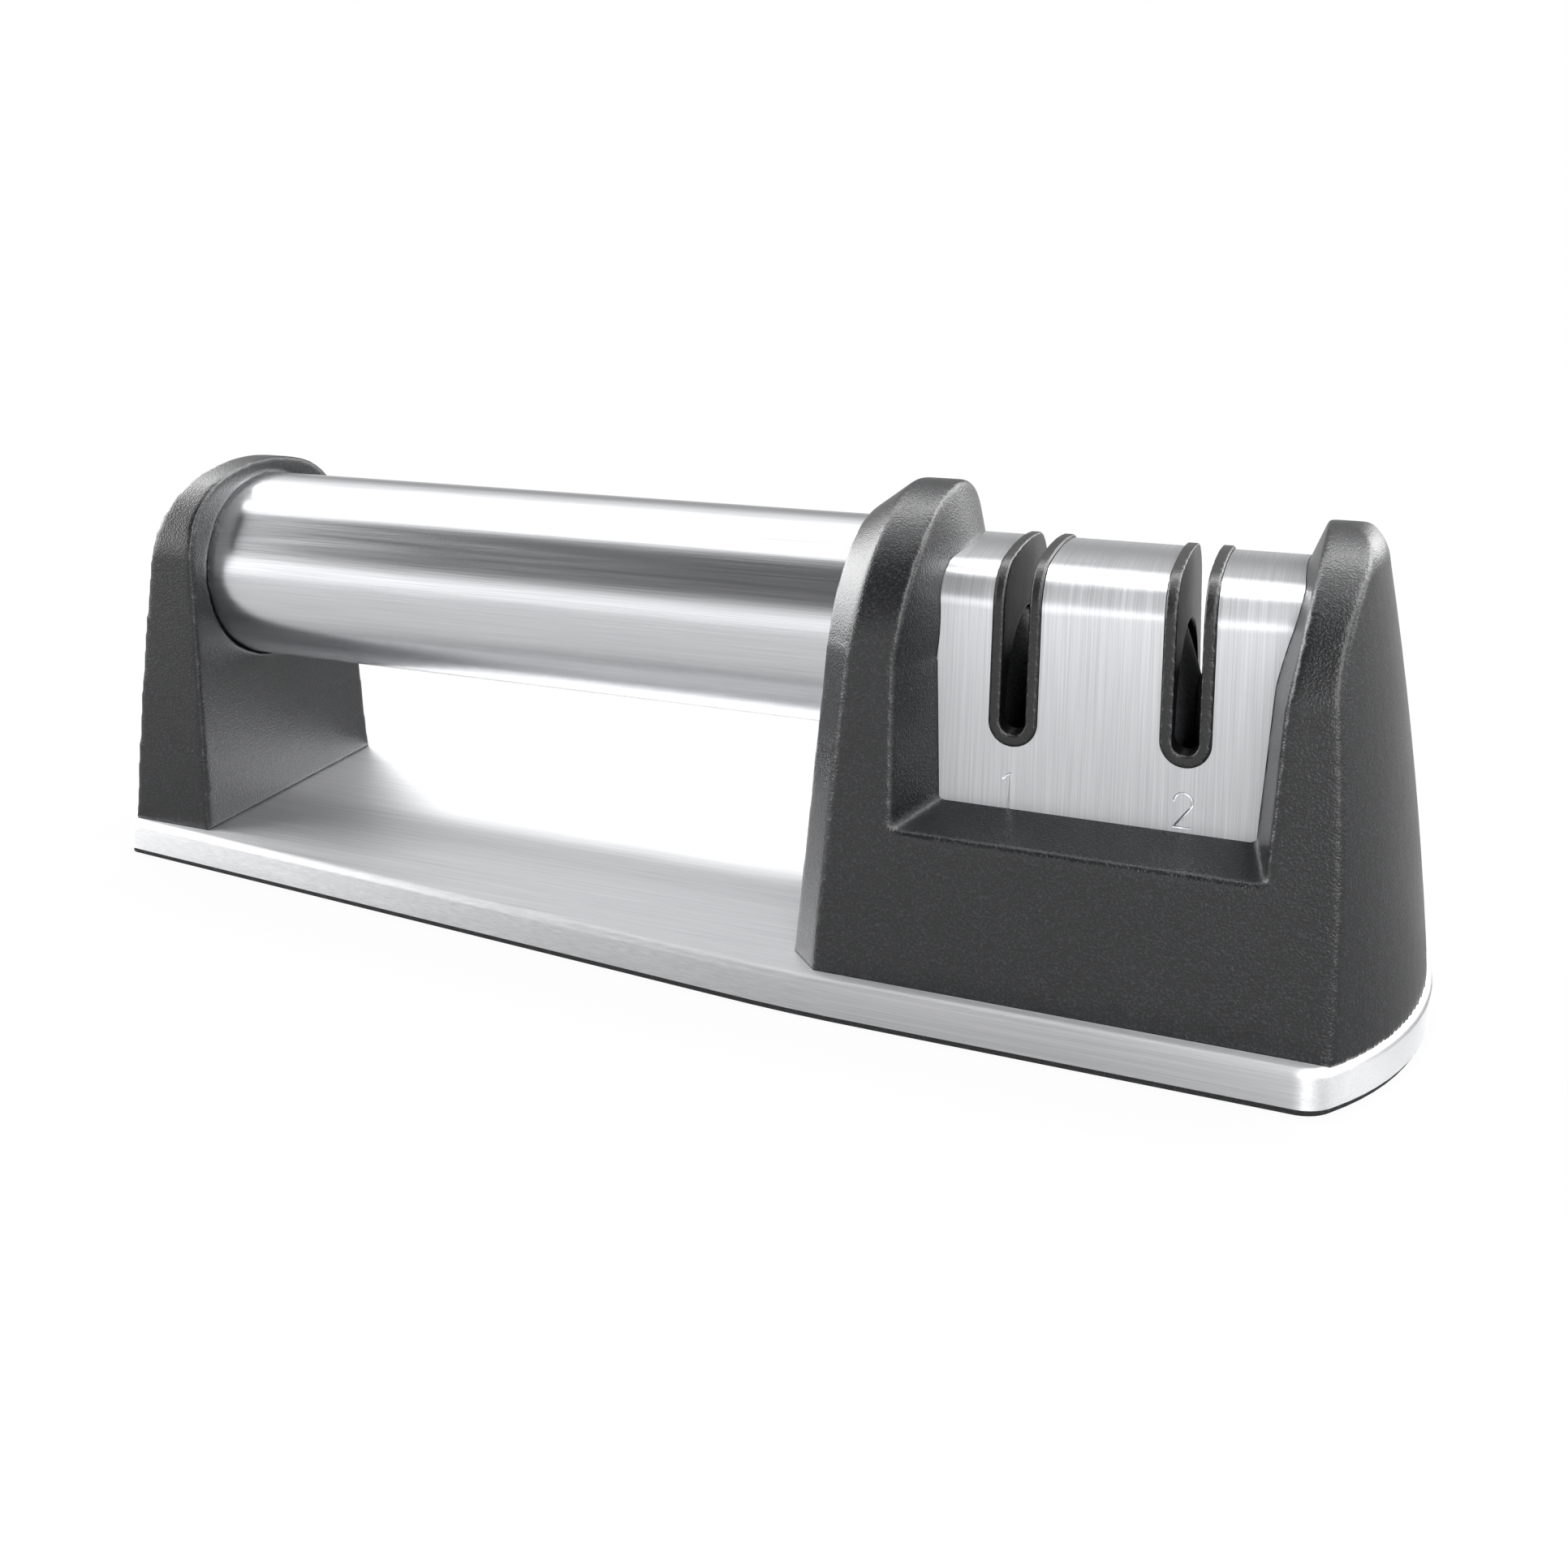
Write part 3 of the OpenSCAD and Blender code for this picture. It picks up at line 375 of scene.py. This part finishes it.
# %% [markdown]
# ## Pieces that need no new shape
#
# Most solids already have the right shape and only need their finish. Each one takes the
# material of the real part.

# %% Give the plain pieces their finish
FINISHES = {
    "handle_tube": tube_steel, "base_core": inner_nylon, "rubber_sole": sole_rubber,
    "wheel_frame": inner_nylon, "coarse_axle": ground_steel, "fine_axle": ground_steel,
    "coarse_wheel_rear": diamond_steel, "coarse_wheel_end": diamond_steel,
    "fine_wheel_rear": fired_ceramic, "fine_wheel_end": fired_ceramic,
    "coarse_bushes": bush_bronze, "fine_bushes": bush_bronze,
    "post_screws": zinc_steel, "housing_screws": zinc_steel, "frame_screws": zinc_steel}


def finish(piece, material):
    """The piece shows one material all over."""
    piece.data.materials.clear()
    piece.data.materials.append(material)


for name, material in FINISHES.items():
    finish(NODES[name], material)
print(len(FINISHES), "nodes keep their shape")

# %% [markdown]
# ## Soft-edged mouldings
#
# A moulded part has no sharp edges: the cutter that made its mould has a round nose, and
# plastic does not fill a sharp corner. The head, the post and the two slot frames are all
# like that. Beveling their many curved joins one by one would be slow. Instead, a copy of
# the solid gets an even skin of small squares with a voxel remesh, and a smoothing pass
# rounds what is sharp and leaves what is broad and curved. The foot is left crisp, because
# it stands on the steel tray, and so is the skin round the steel saddle, which would bury the
# saddle's edge if it were rounded. A decimation then thins the flat regions.

# %% Helper: a softened copy of a solid
def alone(piece):
    """Selects one piece and nothing else."""
    if bpy.context.object and bpy.context.object.mode != "OBJECT":
        bpy.ops.object.mode_set(mode="OBJECT")
    bpy.ops.object.select_all(action="DESELECT")
    piece.select_set(True)
    bpy.context.view_layer.objects.active = piece
    return piece


def copy_of(node, name):
    """A copy of a CAD node with its loose triangles merged into one closed skin."""
    alone(NODES[node])
    bpy.ops.object.duplicate()
    piece = bpy.context.active_object
    piece.name = piece.data.name = name
    bpy.ops.object.parent_clear(type="CLEAR_KEEP_TRANSFORM")
    for key in list(piece.keys()):
        del piece[key]
    bpy.ops.object.mode_set(mode="EDIT")
    bpy.ops.mesh.select_all(action="SELECT")
    bpy.ops.mesh.remove_doubles(threshold=0.001 * MM)
    bpy.ops.object.mode_set(mode="OBJECT")
    return piece


def apply_modifier(piece, kind, **settings):
    """Adds one modifier, sets it and makes it part of the mesh."""
    alone(piece)
    bpy.ops.object.modifier_add(type=kind)
    modifier = piece.modifiers[-1]
    for name, value in settings.items():
        setattr(modifier, name, value)
    bpy.ops.object.modifier_apply(modifier=modifier.name)


CRISP_REACH = 1.0  # distance from the saddle within which the skin stays crisp, in mm
CRISP_FOOT = 0.8   # height above the tray up to which the skin stays crisp, in mm
FOOT_SHARE = 0.6   # part of a square within which a corner belongs to the flat foot


def soften(piece, voxel_mm, rounds, keep_share, stands_mm=None, crisp_near=None):
    """Even skin, soft edges, a flat foot at height stands_mm, fewer faces. The skin stays crisp
    where it touches the crisp_near node."""
    apply_modifier(piece, "REMESH", mode="VOXEL", voxel_size=voxel_mm * MM, use_smooth_shade=True)
    foot = -1.0 if stands_mm is None else (stands_mm + CRISP_FOOT) * MM
    soft = piece.vertex_groups.new(name="soft")
    raised = [v for v in piece.data.vertices if v.co.z > foot]
    if crisp_near:
        seat = BVHTree.FromObject(NODES[crisp_near], bpy.context.evaluated_depsgraph_get())
        raised = [v for v in raised if seat.find_nearest(v.co, CRISP_REACH * MM)[0] is None]
    soft.add([v.index for v in raised], 1.0, "REPLACE")
    apply_modifier(piece, "SMOOTH", factor=0.5, iterations=rounds, vertex_group="soft")
    piece.vertex_groups.clear()
    if stands_mm is not None:
        flat = (stands_mm + voxel_mm * FOOT_SHARE) * MM
        piece.data.vertices.foreach_set("select", [v.co.z < flat for v in piece.data.vertices])
        alone(piece)
        bpy.ops.object.mode_set(mode="EDIT")
        bpy.ops.transform.resize(value=(1, 1, 0), center_override=(0, 0, stands_mm * MM))
        bpy.ops.object.mode_set(mode="OBJECT")
    if keep_share < 1:
        apply_modifier(piece, "DECIMATE", ratio=keep_share)
    alone(piece)
    bpy.ops.object.shade_smooth()
    print(piece.name, sum(len(p.vertices) - 2 for p in piece.data.polygons), "triangles")
    return piece


# %% Soften the head, the post and the slot frames
TRAY_TOP = 6.1  # height of the tray's top face above the table, in mm
head = soften(copy_of("head_housing", "head_shell"), 0.45, 9, 0.4, TRAY_TOP, "steel_cover")
post = soften(copy_of("rear_post", "post_shell"), 0.45, 8, 0.5, TRAY_TOP)
MOULDINGS = [(head, "head_housing", grained_abs), (post, "rear_post", grained_abs)]
for stage_name in ("coarse", "fine"):
    lips = soften(copy_of(stage_name + "_slot_liner", stage_name + "_slot_lips"), 0.25, 3, 0.5)
    MOULDINGS.append((lips, stage_name + "_slot_liner", shaded_lip_abs))
for piece, node, material in MOULDINGS:
    finish(piece, material)
    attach(piece, "root")
    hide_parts(node)

# %% [markdown]
# ## The steel saddle
#
# The saddle is a strip of 0.6 mm sheet bent over the head. Its edges are cut, and the cut
# leaves a fine bright bevel that the eye reads as sheet metal.

# %% Bevel the saddle's edges
saddle = copy_of("steel_cover", "steel_saddle")
apply_modifier(saddle, "BEVEL", width=0.15 * MM, segments=2, limit_method="ANGLE",
               angle_limit=math.radians(40))
finish(saddle, saddle_steel)
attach(saddle, "root")
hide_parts("steel_cover")
print("saddle", len(saddle.data.polygons), "faces")

# %% [markdown]
# ## The stage numbers
#
# A plain 1 and a plain 2 are drawn into the front flank with a thin round-nosed tool, so they
# are grooves that catch the light on one side. Straight strokes are cut with a long thin
# cylinder. The bow of the 2 is cut with a small circle that spins round the bow's centre. The
# strokes are laid out on the flank, where u runs along X and v runs up the lean.

# %% Cut the stage numbers
FLANK_LEAN = math.radians(6.7)
FLANK_FOOT = 19.7   # distance of the flank's foot line from the middle, at the tray's top
STROKE_R = 0.17
STROKE_LIFT = 0.04  # the tool's middle lies this far outside the skin
UP_FLANK = Vector((0, math.sin(FLANK_LEAN), math.cos(FLANK_LEAN)))
OUT_FLANK = Vector((0, -math.cos(FLANK_LEAN), math.sin(FLANK_LEAN)))


def on_flank(x_mm, z_mm, u_mm, v_mm):
    """A point of the flank's skin, u and v away from the place x, z above the tray."""
    y_mm = z_mm * math.tan(FLANK_LEAN) - FLANK_FOOT
    base = Vector((x_mm + u_mm, y_mm, z_mm + TRAY_TOP))
    return (base + v_mm * UP_FLANK + STROKE_LIFT * OUT_FLANK) * MM


def cut_away(piece, tool):
    """Cuts the tool's shape out of the piece and throws the tool away."""
    alone(tool)
    bpy.ops.object.transform_apply(location=True, rotation=True, scale=True)
    apply_modifier(piece, "BOOLEAN", operation="DIFFERENCE", object=tool, solver="EXACT")
    bpy.data.objects.remove(tool)


def straight_stroke(start, end):
    """A groove from one point of the flank to another."""
    way = end - start
    bpy.ops.mesh.primitive_cylinder_add(vertices=16, radius=STROKE_R * MM, depth=way.length,
                                        location=(start + end) / 2,
                                        rotation=way.to_track_quat("Z", "Y").to_euler())
    cut_away(saddle, bpy.context.active_object)


def bowed_stroke(centre, radius_mm, start_deg, turn_deg):
    """A groove round a centre, from start_deg, where 0 points along X, clockwise."""
    start = math.radians(start_deg)
    arm = math.cos(start) * Vector((1, 0, 0)) + math.sin(start) * UP_FLANK
    along_path = OUT_FLANK.cross(arm)
    bpy.ops.mesh.primitive_circle_add(vertices=16, radius=STROKE_R * MM, fill_type="NGON",
                                      location=centre + arm * radius_mm * MM,
                                      rotation=along_path.to_track_quat("Z", "Y").to_euler())
    tool = bpy.context.active_object
    bpy.ops.object.mode_set(mode="EDIT")
    bpy.ops.mesh.select_all(action="SELECT")
    bpy.ops.mesh.spin(steps=24, angle=math.radians(turn_deg), center=centre, axis=OUT_FLANK)
    bpy.ops.mesh.select_all(action="SELECT")
    bpy.ops.mesh.normals_make_consistent(inside=False)
    bpy.ops.object.mode_set(mode="OBJECT")
    cut_away(saddle, tool)


ONE = (49.6, 24.2)  # middle of each number: X, and height above the tray
TWO = (73.0, 24.6)
# The stem and the flag of the 1
straight_stroke(on_flank(*ONE, 0.25, 2.45), on_flank(*ONE, 0.1, -2.45))
straight_stroke(on_flank(*ONE, 0.3, 2.5), on_flank(*ONE, -0.9, 1.6))
# The bow, the slope and the foot of the 2
bowed_stroke(on_flank(*TWO, 0, 1.25), 1.2, 185, 225)
straight_stroke(on_flank(*TWO, 0.92, 0.48), on_flank(*TWO, -1.2, -2.2))
straight_stroke(on_flank(*TWO, -1.25, -2.15), on_flank(*TWO, 1.15, -2.15))
alone(saddle)
bpy.ops.object.shade_smooth_by_angle(angle=math.radians(30))
apply_modifier(saddle, "WEIGHTED_NORMAL", weight=100, keep_sharp=True)
print("saddle with its numbers", len(saddle.data.polygons), "faces")

# %% [markdown]
# ## The steel tray
#
# The tray was pressed from one sheet, so its top edge is a small bend and not a corner. The
# bend is a bevel on the copy. The outer loop of edges is picked by the walls below it: they
# reach down to the sole, while the walls of the screw holes are only as deep as the sheet.

# %% Bend the tray's edge
BEND = 1.1        # outer radius of the bend, in mm
WALL_DEPTH = 3.0  # deeper than a screw hole, less deep than the skirt, in mm
tray = copy_of("base_tray", "steel_tray")
bpy.ops.object.mode_set(mode="EDIT")
bpy.ops.mesh.select_all(action="SELECT")
bpy.ops.mesh.dissolve_limited(angle_limit=math.radians(0.05))
bpy.ops.mesh.select_all(action="DESELECT")
bpy.ops.object.mode_set(mode="OBJECT")
mesh = tray.data
wall_tops = set()
for face in mesh.polygons:
    heights = [mesh.vertices[i].co.z for i in face.vertices]
    if abs(face.normal.z) < 0.1 and max(heights) - min(heights) > WALL_DEPTH * MM:
        wall_tops.update(k for k in face.edge_keys
                         if min(mesh.vertices[i].co.z for i in k) > (TRAY_TOP - 0.01) * MM)
for edge in mesh.edges:
    edge.select = edge.key in wall_tops
alone(tray)
bpy.ops.object.mode_set(mode="EDIT")
bpy.ops.mesh.select_mode(type="EDGE")
bpy.ops.mesh.bevel(offset=BEND * MM, segments=6, affect="EDGES", clamp_overlap=False)
bpy.ops.object.mode_set(mode="OBJECT")
bpy.ops.object.shade_smooth_by_angle(angle=math.radians(30))
apply_modifier(tray, "WEIGHTED_NORMAL", weight=100, keep_sharp=True)
finish(tray, tray_steel)
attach(tray, "root")
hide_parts("base_tray")
print("tray", len(wall_tops), "edges bent,", len(tray.data.polygons), "faces")
